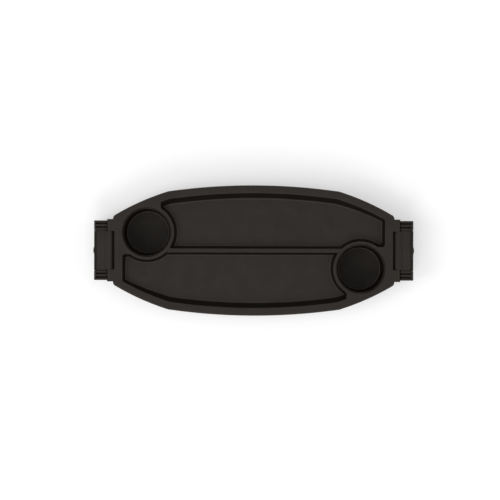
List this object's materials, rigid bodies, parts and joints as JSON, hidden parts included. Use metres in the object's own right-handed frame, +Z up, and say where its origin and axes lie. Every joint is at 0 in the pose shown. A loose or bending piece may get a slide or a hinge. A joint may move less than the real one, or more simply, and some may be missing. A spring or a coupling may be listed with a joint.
{
  "type": "snack tray",
  "caption": "Long moulded snack tray with round cup wells at opposite corners, a shallow basin parted by a ridge, and ribbed hooks with sprung latches that clip onto rails.",
  "frame": {"origin": "centre of the part's footprint, at the underside of the cup wells", "axes": "+X along the tray towards the right latch, +Y towards the edge at the picture's top, +Z up out of the cup wells"},
  "size_m": [0.567, 0.2288, 0.075],
  "materials": {
    "charcoal_plastic": "fine matte texture",
    "dark_plastic": "fine matte texture",
    "pad_rubber": "matte",
    "screw_steel": "satin",
    "spring_steel": "satin"
  },
  "bodies": {
    "tray": {"tray_top": "charcoal_plastic", "left_cup_well": "dark_plastic", "left_rail_hook": "charcoal_plastic", "left_hinge_pin": "screw_steel", "left_latch_spring": "spring_steel", "left_front_rail_pad": "pad_rubber", "left_back_rail_pad": "pad_rubber", "left_cup_screw_1": "screw_steel", "left_cup_screw_2": "screw_steel", "left_cup_screw_3": "screw_steel", "left_hook_screw_1": "screw_steel", "left_hook_screw_2": "screw_steel", "left_hook_screw_3": "screw_steel", "left_hook_screw_4": "screw_steel", "right_cup_well": "dark_plastic", "right_rail_hook": "charcoal_plastic", "right_hinge_pin": "screw_steel", "right_latch_spring": "spring_steel", "right_front_rail_pad": "pad_rubber", "right_back_rail_pad": "pad_rubber", "right_cup_screw_1": "screw_steel", "right_cup_screw_2": "screw_steel", "right_cup_screw_3": "screw_steel", "right_hook_screw_1": "screw_steel", "right_hook_screw_2": "screw_steel", "right_hook_screw_3": "screw_steel", "right_hook_screw_4": "screw_steel"},
    "left_latch": {"left_latch_lever": "charcoal_plastic"},
    "right_latch": {"right_latch_lever": "charcoal_plastic"}
  },
  "joints": [
    {"name": "left_latch_hinge", "type": "hinge", "parent": "tray", "child": "left_latch", "pos_m": [-0.2527, 0, 0.0699], "axis": [0, 1, 0], "range_deg": [0, 80], "stiffness_Nm_per_rad": 0.12, "springref_deg": -28.65, "deforming": ["left_latch_spring"]},
    {"name": "right_latch_hinge", "type": "hinge", "parent": "tray", "child": "right_latch", "pos_m": [0.2527, 0, 0.0699], "axis": [0, -1, 0], "range_deg": [0, 80], "stiffness_Nm_per_rad": 0.12, "springref_deg": -28.65, "deforming": ["right_latch_spring"]}
  ]
}
